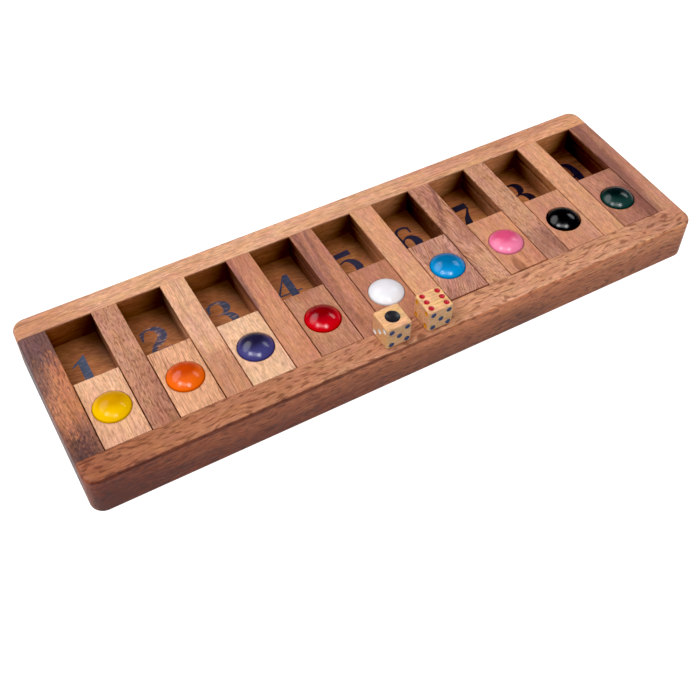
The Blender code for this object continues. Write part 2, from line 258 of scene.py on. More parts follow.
# Layers of the grain: noise cells per millimetre along it and across it, then detail and roughness
LAYERS = {
    "drift": (0.03, 0.07, 1, 0.5),
    "streak": (0.05, 0.75, 3, 0.6),
    "band": (0.018, 0.15, 2, 0.5),
    "lines": (0.10, 2.4, 2, 0.6),
    "mottle": (0.3, 1.3, 2, 0.7),
    "flush": (0.08, 0.24, 3, 0.6),
    "crowd": (0.05, 0.16, 1, 0.5),
    "pores": (0.05, 1.5, 1, 0.5),
    "ragged": (0.11, 0.42, 3, 0.65),
    "dots": (0.5, 1.5, 1, 0.5),
}

# Between which noise values a layer's effect goes from one end to the other
LAYER_RANGES = {
    "streak": (0.34, 0.66),
    "band": (0.36, 0.64),
    "lines": (0.36, 0.64),
    "mottle": (0.3, 0.7),
    "pores": (0.54, 0.70),
}

# The layers that run from the light grain to the dark
STRANDS = ("streak", "band", "lines")

# The middle of a noise, which is taken off so that it pushes both ways
MIDDLE = 0.5

# How far a seed of 1 shifts the noise, in millimetres, so that no two boards are alike
SEED_SHIFTS = (37.1, 11.3, 5.7)

# How wide the grain wanders sideways, in millimetres for a wave of 1
DRIFT_REACH = 4

# How a swing of 1 spreads over red, green and blue towards the light and the dark grain
LIGHT_SWING_SHARES = (1, 1.15, 1.25)
DARK_SWING_SHARES = (1, 1.35, 1.5)

# How far the red, green and blue of a wood wander from pink to golden
FLUSH_REACH = (0.20, 0.33, 0.68)

# How much the dashes crowd in places, and over what range of its noise each fades
CROWD_REACH = 0.25
FLECK_FADE = 0.16

# How far the edge of a patch is ragged, for a softness of 1
RAGGED_REACH = 3

# A half size so large that it takes in the whole piece that way
ANY = 9.0

# Noise values between which a finish goes from its lowest roughness to its highest
POLISH_RANGE = (0.3, 0.7)

# Polish and relief of the wood, which go with the noise of the fine lines
WOOD_POLISH_RANGE = (0.25, 0.75)
WOOD_ROUGHNESS = (0.46, 0.62)
WOOD_MIRROR = 0.35
WOOD_LINE_HEIGHT = 0.6
WOOD_BUMP_STRENGTH = 0.35
WOOD_BUMP_DISTANCE = 0.06 * MM

# What a piece of wood has unless its own entry says otherwise. The angle is in degrees, the dash in noise
# cells per millimetre along and across the grain, dash_start a noise value. The fleck, side and
# inside_shade are tints, and the other numbers strengths. The side tint darkens the outer sides below the
# deck, partly as their own tone and partly as painted shade; inside_shade is the painted shade in the
# slots.
WOOD_LOOK = {
    "swing": 0.16,
    "angle": 0.0,
    "wave": 1.2,
    "streak": 0.45,
    "band": 0.35,
    "lines": 0.35,
    "dash": (0.42, 1.5),
    "dash_start": 0.57,
    "dashes": 0.45,
    "pores": 0.32,
    "mottle": 0.16,
    "flush": 1.0,
    "speckle": 0.6,
    "fleck": (0.50, 0.38, 0.33),
    "side": (0.95, 0.86, 0.86),
    "inside_shade": (INSIDE_SHADE_TINT, INSIDE_SHADE_TINT),
    "patches": (),
}


def grain_place(paint, spec):
    """The place in millimetres, with its first axis along the grain, which drifts a little."""
    place = paint.mapped(
        paint.place,
        move=[spec["seed"] * shift for shift in SEED_SHIFTS],
        turn=(0, 0, math.radians(spec["grain"] + spec["angle"])),
        size=(1 / MM,) * 3,
    )
    reach = spec["wave"] * DRIFT_REACH
    drift = paint.vector("SUBTRACT", layer(paint, place, "drift", output="Color"), (MIDDLE,) * 3)
    return paint.vector("ADD", place, paint.vector("MULTIPLY", drift, (0, reach, reach)))


def layer(paint, place, name, output="Fac"):
    """One layer of the grain at a place in millimetres along it."""
    along, across, detail, roughness = LAYERS[name]
    return paint.noise(paint.vector("MULTIPLY", place, (along, across, across)), detail, roughness, output)


def grain_colour(paint, place, spec):
    """The sockets of the wood's colour and of its fine lines."""
    mid = tone(*spec["mid"], level=LIGHT_LEVEL)
    light = [part * (1 + share * spec["swing"]) for part, share in zip(mid, LIGHT_SWING_SHARES)]
    dark = [part * (1 - share * spec["swing"]) for part, share in zip(mid, DARK_SWING_SHARES)]
    strands = {name: layer(paint, place, name) for name in STRANDS}
    shade = 0.0
    for name, strand in strands.items():
        strength = paint.times(paint.ramp(strand, *LAYER_RANGES[name]), spec[name])
        shade = paint.plus(shade, strength)
    shade = paint.math("DIVIDE", shade, sum(spec[name] for name in STRANDS))
    colour = paint.mix(shade, (*light, 1), (*dark, 1))
    mottle = layer(paint, place, "mottle")
    mottle = paint.ramp(mottle, *LAYER_RANGES["mottle"], 1 - spec["mottle"], 1 + spec["mottle"])
    colour = paint.vector("MULTIPLY", colour, mottle)
    flush = paint.vector("SUBTRACT", layer(paint, place, "flush", output="Color"), (MIDDLE,) * 3)
    flush = paint.vector("MULTIPLY", flush, [part * spec["flush"] for part in FLUSH_REACH])
    colour = paint.vector("MULTIPLY", colour, paint.vector("ADD", flush, (1, 1, 1)))
    return colour, strands["lines"]


def grain_flecks(paint, place, spec):
    """The socket that is 1 in the short dark dashes and the long fine pores."""
    along, across = spec["dash"]
    dashes = paint.noise(paint.vector("MULTIPLY", place, (along, across, across)), detail=0)
    crowd = paint.minus(layer(paint, place, "crowd"), MIDDLE)
    dashes = paint.plus(dashes, paint.times(crowd, CROWD_REACH))
    dashes = paint.ramp(dashes, spec["dash_start"], spec["dash_start"] + FLECK_FADE)
    pores = paint.ramp(layer(paint, place, "pores"), *LAYER_RANGES["pores"])
    return paint.math(
        "MAXIMUM",
        paint.times(dashes, spec["dashes"]),
        paint.times(pores, spec["pores"]),
    )


def patched(paint, colour, place, box, spec):
    """Lays soft patches of other tones under the grain, each an ellipsoid placed by shares of the box."""
    low, high = box
    base = tone(*spec["mid"], level=LIGHT_LEVEL)
    grain = paint.vector("DIVIDE", colour, base[:3])
    ragged = paint.minus(layer(paint, place, "ragged"), MIDDLE)
    dots = paint.minus(layer(paint, place, "dots"), MIDDLE)
    ragged = paint.plus(ragged, paint.times(dots, spec["speckle"]))
    for centre, half, turn, soft, strength, shade in spec["patches"]:
        centre, half = (*centre, 1)[:3], (*half, ANY)[:3]
        within = paint.mapped(
            paint.place,
            move=[low[axis] + (high[axis] - low[axis]) * centre[axis] for axis in range(3)],
            turn=(0, 0, math.radians(turn)),
            size=[(high[axis] - low[axis]) * half[axis] for axis in range(3)],
            kind="TEXTURE",
        )
        edge = paint.times(ragged, soft * RAGGED_REACH)
        reach = paint.plus(paint.vector("LENGTH", within), edge)
        share = paint.ramp(reach, 1 + soft, 1 - soft, 0.0, strength)
        base = paint.mix(share, base, tone(*shade, level=LIGHT_LEVEL))
    return paint.vector("MULTIPLY", grain, base)


def slot_shade_tint(paint, x, y, z, inside_shade):
    """Painted shade: what is left of the wood's colour inside a slot, darkest in its back right corner."""
    across = paint.math("FLOORED_MODULO", paint.minus(x, SLOT_LEFT - INSIDE_SHADE_MARGIN), SLOT_PITCH)
    across = paint.math("DIVIDE", across, SLOT_WIDTH, clamp=True)
    back = paint.math("DIVIDE", paint.minus(y, TILE_BACK), SLOT_BACK - TILE_BACK, clamp=True)
    deep = paint.math("DIVIDE", paint.minus(DECK, z), DECK - FLOOR_TOP, clamp=True)
    corner = paint.plus(paint.math("POWER", across, 2.0), paint.math("POWER", back, 2.0))
    corner = paint.plus(corner, paint.times(deep, CORNER_SHADOW_DEPTH_WEIGHT))
    left, right = inside_shade
    slot_shade = paint.mix(paint.ramp(x, *INSIDE_SHADE_TURN), (*left, 1), (*right, 1))
    # Painted shadow, deepest in the back right corner
    slot_shade = paint.mix(paint.ramp(corner, *CORNER_SHADOW_RANGE), slot_shade, (*CORNER_SHADOW_TINT, 1))
    # Painted light next to the tile's end
    near_tile_light = paint.ramp(back, NEAR_TILE_LIGHT_REACH, 0.0, 0.0, NEAR_TILE_LIGHT_STRENGTH)
    slot_shade = paint.mix(near_tile_light, slot_shade, (*NEAR_TILE_LIGHT_TINT, 1))
    # Lighter painted shade in the gaps beside the tile, near the deck
    under_tile = paint.ramp(y, TILE_BACK + INSIDE_SHADE_MARGIN, TILE_BACK - INSIDE_SHADE_MARGIN)
    shallow = paint.ramp(z, DECK - GAP_SHADE_DEPTHS[0], DECK - GAP_SHADE_DEPTHS[1])
    return paint.mix(paint.times(under_tile, shallow), slot_shade, (*GAP_SHADE_TINT, 1))


def shaded_sides_and_slots(paint, colour, side, inside_shade):
    """Tints the piece's outer sides, partly as their own tone and partly as painted shade that deepens
    towards the foot, and darkens what lies inside the slots with painted shade.
    """
    x, y, z = paint.split(paint.place)
    slot_shade = slot_shade_tint(paint, x, y, z, inside_shade)
    below_deck = paint.ramp(z, DECK - SHADE_STARTS_BELOW_DECK[0], DECK - SHADE_STARTS_BELOW_DECK[1])
    within_x = paint.math("LESS_THAN", paint.math("ABSOLUTE", x), SLOT_RIGHT + GROOVE_SHADE_MARGIN)
    within_y = paint.math("LESS_THAN", paint.math("ABSOLUTE", y), SLOT_BACK + INSIDE_SHADE_MARGIN)
    within = paint.times(paint.times(within_x, within_y), below_deck)
    outside = paint.times(below_deck, paint.minus(1.0, within))
    colour = paint.mix(outside, colour, (*side, 1), blend="MULTIPLY")
    foot_shade = paint.ramp(z, 0.0, DECK, *SIDE_SHADE_FADE)
    colour = paint.mix(outside, colour, paint.vector("MULTIPLY", colour, foot_shade))
    return paint.mix(within, colour, slot_shade, blend="MULTIPLY")


def seat_shadow_ringed(paint, colour, dome):
    """Darkens the thin line of wood round a dome's seat: a painted shadow, partly the seat's dark joint."""
    low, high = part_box(dome)
    radius = (high.x - low.x) / 2
    away = paint.mapped(paint.place, move=(low + high) / 2, size=(radius, radius, ANY), kind="TEXTURE")
    reach = paint.vector("LENGTH", away)
    outer = 1 + SEAT_SHADOW_RING * MM / radius
    darkest = 1 + SEAT_SHADOW_DARKEST_SHARE * SEAT_SHADOW_RING * MM / radius
    share = paint.ramp(reach, outer, darkest, 0.0, SEAT_SHADOW_STRENGTH)
    return paint.mix(share, colour, SEAT_SHADOW_TINT, blend="MULTIPLY")


def wood(name, spec, node=None):
    """A satin-oiled wood: growth streaks, fine lines, short dark flecks, a CAD node's own patches and its
    painted shade.
    """
    paint = Paint(name)
    spec = {**WOOD_LOOK, **spec}
    place = grain_place(paint, spec)
    colour, lines = grain_colour(paint, place, spec)
    flecks = grain_flecks(paint, place, spec)
    if spec["patches"]:
        colour = patched(paint, colour, place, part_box(node), spec)
    colour = paint.mix(flecks, colour, (*spec["fleck"], 1), blend="MULTIPLY")
    # A painted shadow line round a dome's seat
    if "dome" in spec:
        colour = seat_shadow_ringed(paint, colour, spec["dome"])
    # Painted shade on the outer sides and inside the slots
    if node:
        colour = shaded_sides_and_slots(paint, colour, spec["side"], spec["inside_shade"])
    paint.set(
        Base_Color=colour,
        Roughness=paint.ramp(lines, *WOOD_POLISH_RANGE, *WOOD_ROUGHNESS),
        Specular_IOR_Level=WOOD_MIRROR,
    )
    height = paint.minus(paint.times(lines, WOOD_LINE_HEIGHT), flecks)
    paint.bump(height, WOOD_BUMP_STRENGTH, WOOD_BUMP_DISTANCE)
    return paint.material


# Every patch: centre and half size as shares of the piece's box, turn in degrees, softness, strength, tone.
# The shares are (x, y, z), or (x, y) where the patch reaches through the whole height.
TILES = (
    {
        "mid": (231, 180, 143), "swing": 0.19, "lines": 0.6, "dashes": 0.5, "flush": 0.6,
        "patches": (
            ((0.1, 0.55), (0.22, 0.5), 0, 0.6, 0.35, (205, 150, 112)),
            ((0.5, 0.0), (0.9, 0.16), 0, 0.6, 0.45, (222, 164, 134)),
        ),
    },
    {
        "mid": (225, 168, 130), "swing": 0.19, "lines": 0.8, "angle": 4, "dashes": 0.3, "pores": 0.85,
        "flush": 0.3,
    },
    {"mid": (232, 186, 150), "swing": 0.16, "lines": 0.45, "dashes": 0.35, "flush": 0.6},
    {
        "mid": (190, 134, 105), "swing": 0.25, "lines": 0.6, "angle": -3, "dashes": 0.35,
        "patches": (
            ((0.4, 1), (0.2, 0.12), 0, 0.7, 0.5, (164, 98, 70)),
        ),
    },
    {"mid": (184, 122, 95), "swing": 0.11, "lines": 0.3, "dashes": 0.18},
    {
        "mid": (195, 141, 121), "swing": 0.38, "lines": 0.9, "wave": 3.6, "angle": 12, "dashes": 0.5,
        "pores": 0.8,
        "patches": (
            ((0.0, 0.6), (0.18, 0.5), 0, 0.35, 0.8, (214, 160, 128)),
        ),
    },
    {
        "mid": (208, 145, 111), "swing": 0.18, "lines": 0.45, "dashes": 0.3,
        "patches": (
            ((0.36, 0.03), (0.10, 0.20), 0, 0.35, 0.75, (150, 92, 66)),
            ((0.85, 0.2), (0.25, 0.3), 0, 0.6, 0.2, (186, 120, 92)),
        ),
    },
    {"mid": (204, 144, 113), "swing": 0.14, "lines": 0.4, "dashes": 0.3},
    {
        "mid": (176, 118, 96), "swing": 0.18, "lines": 0.45, "dashes": 0.3,
        "patches": (
            ((1.0, 0.30), (0.42, 0.45), 0, 0.5, 0.85, (130, 78, 69)),
            ((0.0, 1.0), (0.5, 0.5), 0, 0.7, 0.7, (200, 140, 114)),
        ),
    },
)
DIVIDERS = (
    {
        "mid": (194, 138, 109), "swing": 0.22, "lines": 0.8, "dashes": 0.7, "dash_start": 0.55,
        "pores": 0.5,
        "patches": (
            ((0.5, 0.0), (0.9, 0.16), 0, 0.6, 0.65, (160, 104, 80)),
            ((0.9, 0.3), (0.4, 0.16), 0, 0.7, 0.5, (156, 100, 78)),
            ((0.1, 0.55), (0.3, 0.4), 0, 0.7, 0.4, (208, 150, 120)),
        ),
    },
    {
        "mid": (226, 173, 139), "swing": 0.18, "lines": 0.4, "dashes": 0.25, "pores": 0.45,
        "patches": (
            ((0.5, 0.0), (2.0, 0.36), 4, 0.35, 0.9, (194, 134, 100)),
        ),
    },
    {
        "mid": (203, 139, 107), "swing": 0.14, "lines": 0.4, "dashes": 0.25,
        "patches": (
            ((0.02, 0.72, 1), (0.16, 0.34, 0.2), -3, 0.5, 0.9, (140, 92, 84)),
            ((0.3, 1.0), (0.6, 0.16), 0, 0.5, 0.6, (184, 120, 98)),
        ),
    },
    {
        "mid": (183, 123, 99), "swing": 0.20, "lines": 0.5, "dashes": 0.3, "wave": 2.0,
        "patches": (
            ((0.12, 0.72), (0.12, 0.42), -3, 0.6, 0.85, (146, 94, 84)),
            ((0.52, 0.75), (0.09, 0.45), -5, 0.6, 0.75, (150, 98, 86)),
            ((0.7, 0.35), (0.3, 0.35), 0, 0.6, 0.6, (200, 136, 104)),
            ((0.25, 0.2), (0.10, 0.3), 4, 0.6, 0.6, (156, 100, 82)),
        ),
    },
    {"mid": (217, 157, 121), "swing": 0.11, "lines": 0.4, "dashes": 0.2},
    {
        "mid": (193, 137, 111), "swing": 0.34, "lines": 0.8, "wave": 3.4, "angle": -6, "dashes": 0.35,
        "pores": 0.7,
        "patches": (
            # Painted shade low on the side that faces slot 6, towards the back
            ((0.0, 0.7, 0.4), (0.10, 0.6, 0.55), 0, 0.4, 0.85, (106, 66, 46)),
            ((0.2, 0.92, 1), (0.5, 0.10, 0.3), 0, 0.5, 0.35, (150, 100, 84)),
            ((0.75, 0.82, 1), (0.10, 0.16, 0.3), -16, 0.5, 0.8, (126, 80, 72)),
            ((0.30, 0.66, 1), (0.10, 0.20, 0.3), -14, 0.5, 0.6, (144, 94, 80)),
            ((0.75, 0.50, 1), (0.22, 0.14, 0.3), -10, 0.6, 0.5, (158, 100, 84)),
            ((0.55, 0.12), (0.6, 0.2), 0, 0.6, 0.7, (212, 158, 124)),
        ),
    },
    {
        "mid": (203, 149, 118), "swing": 0.17, "lines": 0.5, "dashes": 0.6, "dash_start": 0.55,
        "patches": (
            ((0.5, 0.02, 1), (1.2, 0.24, 0.3), 3, 0.4, 0.7, (172, 120, 100)),
            ((0.8, 0.14), (0.3, 0.12), 0, 0.6, 0.6, (140, 92, 80)),
        ),
    },
    {"mid": (218, 158, 121), "swing": 0.12, "lines": 0.5, "dashes": 0.35, "angle": 3},
)
BLOCKS = {
    "end_block_left": {
        "mid": (196, 125, 87), "swing": 0.21, "lines": 0.6, "dashes": 0.55, "dash_start": 0.53,
        "fleck": (0.25, 0.22, 0.32), "speckle": 1.2, "side": (0.62, 0.56, 0.66),
        "patches": (
            ((0.5, 1.02), (1.6, 0.28), 0, 0.3, 0.92, (112, 78, 77)),
            ((0.0, 0.70), (0.42, 0.26), 8, 0.35, 0.8, (110, 76, 74)),
            ((0.95, 0.02), (0.75, 0.30), -8, 0.35, 0.8, (126, 84, 72)),
            ((0.1, -0.02), (0.75, 0.23), 0, 0.35, 0.92, (88, 54, 50)),
            ((0.0, 0.27), (0.25, 0.2), 0, 0.5, 0.6, (150, 90, 64)),
            ((0.5, 0.45), (0.6, 0.16), 0, 0.7, 0.5, (206, 138, 98)),
        ),
    },
    "end_block_right": {
        "mid": (184, 126, 102), "swing": 0.12, "lines": 0.5, "dashes": 0.22,
        "patches": (
            # Painted shade low on the side that faces slot 9, towards the back
            ((0.0, 0.75, 0.4), (0.3, 0.6, 0.55), 0, 0.4, 0.95, (84, 42, 26)),
            ((0.22, 0.68, 1), (0.26, 0.70, 0.3), -2, 0.4, 0.85, (138, 88, 78)),
            ((0.95, 0.85), (0.5, 0.4), 0, 0.6, 0.6, (168, 112, 96)),
            ((0.85, 0.0), (0.6, 0.36), 0, 0.5, 0.85, (212, 154, 124)),
            ((0.9, 0.35), (0.35, 0.5), 0, 0.6, 0.5, (200, 138, 108)),
        ),
    },
}
RAILS = {
    "front_rail": {
        "mid": (196, 136, 103), "swing": 0.20, "lines": 0.5, "dashes": 0.75, "dash_start": 0.55,
        "flush": 0.7, "dash": (0.24, 0.9), "wave": 2.4, "side": (0.84, 0.54, 0.36),
        "fleck": (0.42, 0.31, 0.27),
        "patches": (
            ((-0.02, 0.5), (0.18, ANY), 0, 0.5, 0.95, (154, 88, 57)),
            ((0.2, 0.5), (0.14, ANY), 0, 0.5, 0.7, (181, 118, 83)),
            ((0.74, 0.5), (0.2, ANY), 0, 0.5, 0.85, (212, 153, 118)),
            ((0.97, 0.5), (0.07, ANY), 0, 0.5, 0.5, (192, 132, 106)),
            ((0.68, 0.0, 0.0), (0.05, 0.1, 0.5), 0, 0.6, 0.55, (118, 74, 58)),
            ((0.55, 0.0, 0.0), (0.09, 0.1, 0.3), 0, 0.6, 0.5, (122, 78, 62)),
            ((0.14, 0.0, 0.3), (0.16, 0.1, 0.1), 0, 0.6, 0.5, (120, 74, 54)),
            ((0.38, 0.0, 0.28), (0.12, 0.1, 0.06), 0, 0.6, 0.55, (136, 86, 64)),
            ((0.2, 0.0, 0.0), (0.28, 0.1, 0.38), 0, 0.5, 0.85, (146, 76, 38)),
            ((-0.02, 0.0, 0.3), (0.14, 0.2, 0.7), 0, 0.5, 0.94, (112, 46, 8)),
            ((0.78, 0.0, 0.86), (0.36, 0.12, 0.2), 0, 0.5, 0.8, (244, 186, 150)),
            ((0.95, 0.0, 0.4), (0.14, 0.12, 0.6), 0, 0.5, 0.5, (228, 170, 134)),
            # Painted light on the upper front at the right end
            ((0.94, 0.0, 0.76), (0.14, 0.12, 0.16), 0, 0.5, 0.7, (252, 204, 168)),
            # A painted shadow line along the edge where the top turns into the front
            ((0.16, 0.02, 0.945), (0.40, 0.06, 0.05), 0, 0.3, 0.75, (92, 38, 18)),
        ),
    },
    "back_rail": {
        "mid": (226, 171, 135), "inside_shade": ((0.54, 0.36, 0.21), (1.35, 1.15, 0.85)), "swing": 0.17,
        "lines": 0.7, "dashes": 0.35, "dash": (0.15, 1.5), "pores": 0.5,
        "patches": (
            ((0.0, 0.5), (0.10, ANY), 0, 0.5, 0.85, (200, 140, 104)),
            ((0.84, 0.5), (0.3, ANY), 0, 0.4, 0.8, (219, 161, 127)),
            ((0.93, 0.9), (0.22, 0.45), 0, 0.5, 0.6, (204, 138, 108)),
            ((0.96, 0.1), (0.12, 0.3), 0, 0.5, 0.6, (224, 160, 112)),
        ),
    },
}
FLOOR = {
    "mid": (218, 154, 108), "swing": 0.24, "grain": ALONG_X, "seed": 1.7, "angle": 14, "wave": 2.4,
    "dashes": 0.3,
    "patches": (
        # Painted shade on the floor at the back of slot 9
        ((0.94, 0.8), (0.06, 0.3), 0, 0.4, 0.9, (130, 76, 50)),
    ),
}

# Each dome's finish: its tone round the edge, its deeper tone at the heart, which is painted shade, and how
# much it mirrors
DOME_LOOKS = (
    ((252, 198, 0), (212, 151, 0), 0.18),
    ((250, 108, 24), (200, 67, 6), 0.38),
    ((71, 69, 130), (32, 27, 57), 0.50),
    ((210, 0, 26), (130, 0, 10), 0.42),
    ((243, 244, 249), (233, 229, 235), 0.40),
    ((6, 150, 222), (0, 108, 162), 0.42),
    ((253, 137, 177), (219, 78, 122), 0.36),
    ((8, 8, 11), (2, 2, 4), 0.42),
    ((30, 60, 56), (7, 19, 20), 0.42),
)
DOME_LEVEL = 0.95
DOME_ROUGHNESS = (0.16, 0.22)

# Where the heart of the painted shade lies off the dome's middle, towards the back, and from where to where
# it fades in, as shares of the radius
DOME_SHADE_HEART_SHARES = (0.05, 0.3)
DOME_SHADE_FADE_SHARES = (1.05, 0.4)

# Cloudiness of the domes: noise cells per metre, and how far it shifts the fade of the painted shade
CLOUD_SCALE = 260
CLOUD_REACH = 0.3

# A dome's foot is darkened with painted shadow, and mirrors less, below heights above the deck between
# which both fade out
DOME_SEAT_SHADOW_TONE = (110, 74, 44)
DOME_SEAT_SHADOW_STRENGTH = 0.5
DOME_SEAT_SHADOW_HEIGHTS = (0.15 * MM, 0.8 * MM)
DOME_MIRROR_HEIGHTS = (0.4 * MM, 1.4 * MM)


def soften(obj, weld, degrees):
    """Smooth shading that keeps edges over that angle sharp, on the mesh as it stands."""
    if "custom_normal" in obj.data.attributes:
        obj.data.attributes.remove(obj.data.attributes["custom_normal"])
    if weld:
        join = obj.modifiers.new("weld", "WELD")
        join.merge_threshold = WELD_DISTANCE
    shade = obj.modifiers.new("soft_edges", "NODES")
    shade.node_group = soft_edges_group(degrees)
    even = obj.modifiers.new("even_normals", "WEIGHTED_NORMAL")
    even.keep_sharp = True
    even.weight = LARGE_FACE_WEIGHT


def soft_edges_group(degrees):
    name = f"soft_edges_{degrees}"
    if name in bpy.data.node_groups:
        return bpy.data.node_groups[name]
    group = bpy.data.node_groups.new(name, "GeometryNodeTree")
    group.interface.new_socket("Geometry", in_out="INPUT", socket_type="NodeSocketGeometry")
    group.interface.new_socket("Geometry", in_out="OUTPUT", socket_type="NodeSocketGeometry")
    entry = group.nodes.new("NodeGroupInput")
    leave = group.nodes.new("NodeGroupOutput")
    smooth = group.nodes.new("GeometryNodeSetShadeSmooth")
    sharp = group.nodes.new("GeometryNodeSetShadeSmooth")
    sharp.domain = "EDGE"
    sharp.inputs["Shade Smooth"].default_value = False
    angle = group.nodes.new("GeometryNodeInputMeshEdgeAngle")
    over = group.nodes.new("FunctionNodeCompare")
    over.operation = "GREATER_THAN"
    over.inputs["B"].default_value = math.radians(degrees)
    group.links.new(entry.outputs[0], smooth.inputs["Geometry"])
    group.links.new(smooth.outputs[0], sharp.inputs["Geometry"])
    group.links.new(angle.outputs["Unsigned Angle"], over.inputs["A"])
    group.links.new(over.outputs[0], sharp.inputs["Selection"])
    group.links.new(sharp.outputs[0], leave.inputs[0])
    return group


def dress(node, material):
    """Gives a CAD node its finish and smooth shading."""
    obj = nodes[node]
    obj.data.materials.clear()
    obj.data.materials.append(material)
    soften(obj, weld=True, degrees=BOARD_SHARP_ANGLE)


def new_object(name, data):
    obj = bpy.data.objects.new(name, data)
    bpy.context.scene.collection.objects.link(obj)
    return obj


def new_mesh(name, shape, materials=()):
    """The mesh of a finished bmesh, which is freed."""
    mesh = bpy.data.meshes.new(name)
    shape.to_mesh(mesh)
    shape.free()
    for material in materials:
        mesh.materials.append(material)
    return mesh


def baked(obj):
    """The object's mesh with its modifiers applied."""
    bpy.context.view_layer.update()
    graph = bpy.context.evaluated_depsgraph_get()
    return bpy.data.meshes.new_from_object(obj.evaluated_get(graph), depsgraph=graph)


def dome_profile(radius, base, deck, top):
    """Points (out, up) from the crown to the base: a spherical cap, an eased rim and a straight side."""
    rise = top - deck
    ball = (radius**2 + rise**2) / (2 * rise)
    ease = DOME_RIM_ROUNDING * MM
    # The easing is a small arc that leaves the cap at an angle where its slope matches
    rim_angle = math.asin((radius - ease) / (ball - ease))
    points = []
    for step in range(DOME_CAP_STEPS + 1):
        angle = rim_angle * step / DOME_CAP_STEPS
        points.append((ball * math.sin(angle), top - ball * (1 - math.cos(angle))))
    centre_out = radius - ease
    centre_up = top - ball + (ball - ease) * math.cos(rim_angle)
    for step in range(1, DOME_RIM_STEPS + 1):
        angle = rim_angle + (math.pi / 2 - rim_angle) * step / DOME_RIM_STEPS
        points.append((centre_out + ease * math.sin(angle), centre_up + ease * math.cos(angle)))
    points.append((radius, base))
    points.append((0, base))
    return points


def turned(name, profile, centre, sides):
    """A closed mesh made by turning a profile about the upright line through a point."""
    shape = bmesh.new()
    turns = [2 * math.pi * side / sides for side in range(sides)]
    rings = []
    for out, up in profile:
        if out == 0:
            rings.append([shape.verts.new((centre[0], centre[1], up))])
            continue
        ring = []
        for turn in turns:
            place = (centre[0] + out * math.cos(turn), centre[1] + out * math.sin(turn), up)
            ring.append(shape.verts.new(place))
        rings.append(ring)
    for upper, lower in zip(rings, rings[1:]):
        for side in range(sides):
            after = (side + 1) % sides
            corners = [upper[side % len(upper)], lower[side % len(lower)]]
            corners += [lower[after % len(lower)], upper[after % len(upper)]]
            shape.faces.new(list(dict.fromkeys(corners)))
    bmesh.ops.recalc_face_normals(shape, faces=shape.faces)
    return new_mesh(name, shape)


def gloss(name, look, centre, radius):
    """A glossy finish with painted shade that deepens its tone at its heart, and a painted shadow line at
    its seat along the deck.
    """
    paint = Paint(name)
    edge_tone, shaded_heart_tone, mirror = look
    edge_colour = tone(*edge_tone, level=DOME_LEVEL)
    shaded_heart_colour = tone(*shaded_heart_tone, level=DOME_LEVEL)
    # Painted shade: deeper towards a heart a little behind the dome's middle
    shaded_heart = centre + Vector((*DOME_SHADE_HEART_SHARES, 0)) * radius
    away = paint.mapped(paint.place, move=shaded_heart, size=(radius, radius, ANY), kind="TEXTURE")
    cloud = paint.noise(paint.vector("MULTIPLY", paint.place, (CLOUD_SCALE,) * 3))
    uneven = paint.times(paint.minus(cloud, MIDDLE), CLOUD_REACH)
    reach = paint.plus(paint.vector("LENGTH", away), uneven)
    colour = paint.mix(paint.ramp(reach, *DOME_SHADE_FADE_SHARES), edge_colour, shaded_heart_colour)
    height = paint.minus(paint.split(paint.place)[2], DECK)
    # Painted shadow along the dome's foot at the deck
    seat_shadow = paint.ramp(height, *DOME_SEAT_SHADOW_HEIGHTS, DOME_SEAT_SHADOW_STRENGTH, 0.0)
    paint.set(
        Base_Color=paint.mix(seat_shadow, colour, tone(*DOME_SEAT_SHADOW_TONE, level=LIGHT_LEVEL), blend="MULTIPLY"),
        Roughness=paint.ramp(cloud, *POLISH_RANGE, *DOME_ROUGHNESS),
        Specular_IOR_Level=paint.ramp(height, *DOME_MIRROR_HEIGHTS, 0.0, mirror),
    )
    return paint.material


def make_dome(number):
    """A round dome in place of the CAD dome, riding with its tile."""
    node = f"dome_{number}"
    low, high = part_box(node)
    centre = (low + high) / 2
    radius = (high.x - low.x) / 2
    profile = dome_profile(radius, low.z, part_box(f"tile_{number}")[1].z, high.z)
    obj = new_object(f"glass_dome_{number}", turned(node, profile, centre, DOME_SIDES))
    obj.data.materials.append(gloss(f"dome_{number}_gloss", DOME_LOOKS[number - 1], centre, radius))
    soften(obj, weld=False, degrees=DOME_SHARP_ANGLE)
    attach(obj, f"tile_{number}_slider")
    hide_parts(node)


# Pips of each face, as shares of the spread across and up the face
PIP_SHARES = {
    1: ((0, 0),),
    2: ((-1, -1), (1, 1)),
    3: ((-1, -1), (0, 0), (1, 1)),
    4: ((-1, -1), (-1, 1), (1, -1), (1, 1)),
    5: ((-1, -1), (-1, 1), (0, 0), (1, -1), (1, 1)),
    6: ((-1, -1), (-1, 0), (-1, 1), (1, -1), (1, 0), (1, 1)),
}

# Each face of a die: its number, the way it faces, and its own across and up directions
DIE_FACES = (
    (1, (0, 0, 1), (1, 0, 0), (0, 1, 0)),
    (6, (0, 0, -1), (1, 0, 0), (0, 1, 0)),
    (5, (0, -1, 0), (1, 0, 0), (0, 0, 1)),
    (2, (0, 1, 0), (-1, 0, 0), (0, 0, 1)),
    (3, (-1, 0, 0), (0, -1, 0), (0, 0, 1)),
    (4, (1, 0, 0), (0, 1, 0), (0, 0, 1)),
)
PIP_COLOURS = {
    1: ("pip_black", (30, 30, 36)),
    2: ("pip_green", (30, 120, 60)),
    3: ("pip_white", (240, 236, 232)),
    4: ("pip_yellow", (226, 150, 30)),
    5: ("pip_blue", (12, 46, 96)),
    6: ("pip_red", (188, 16, 38)),
}

# Paint of the pips: noise cells per metre of its wear, its shades, its polish and how much it mirrors
PIP_WEAR_SCALE = 900
PIP_WEAR_RANGE = (0.3, 0.75)
PIP_SHADES = (0.85, 1.15)
PIP_ROUGHNESS = (0.28, 0.42)
PIP_MIRROR = 0.5


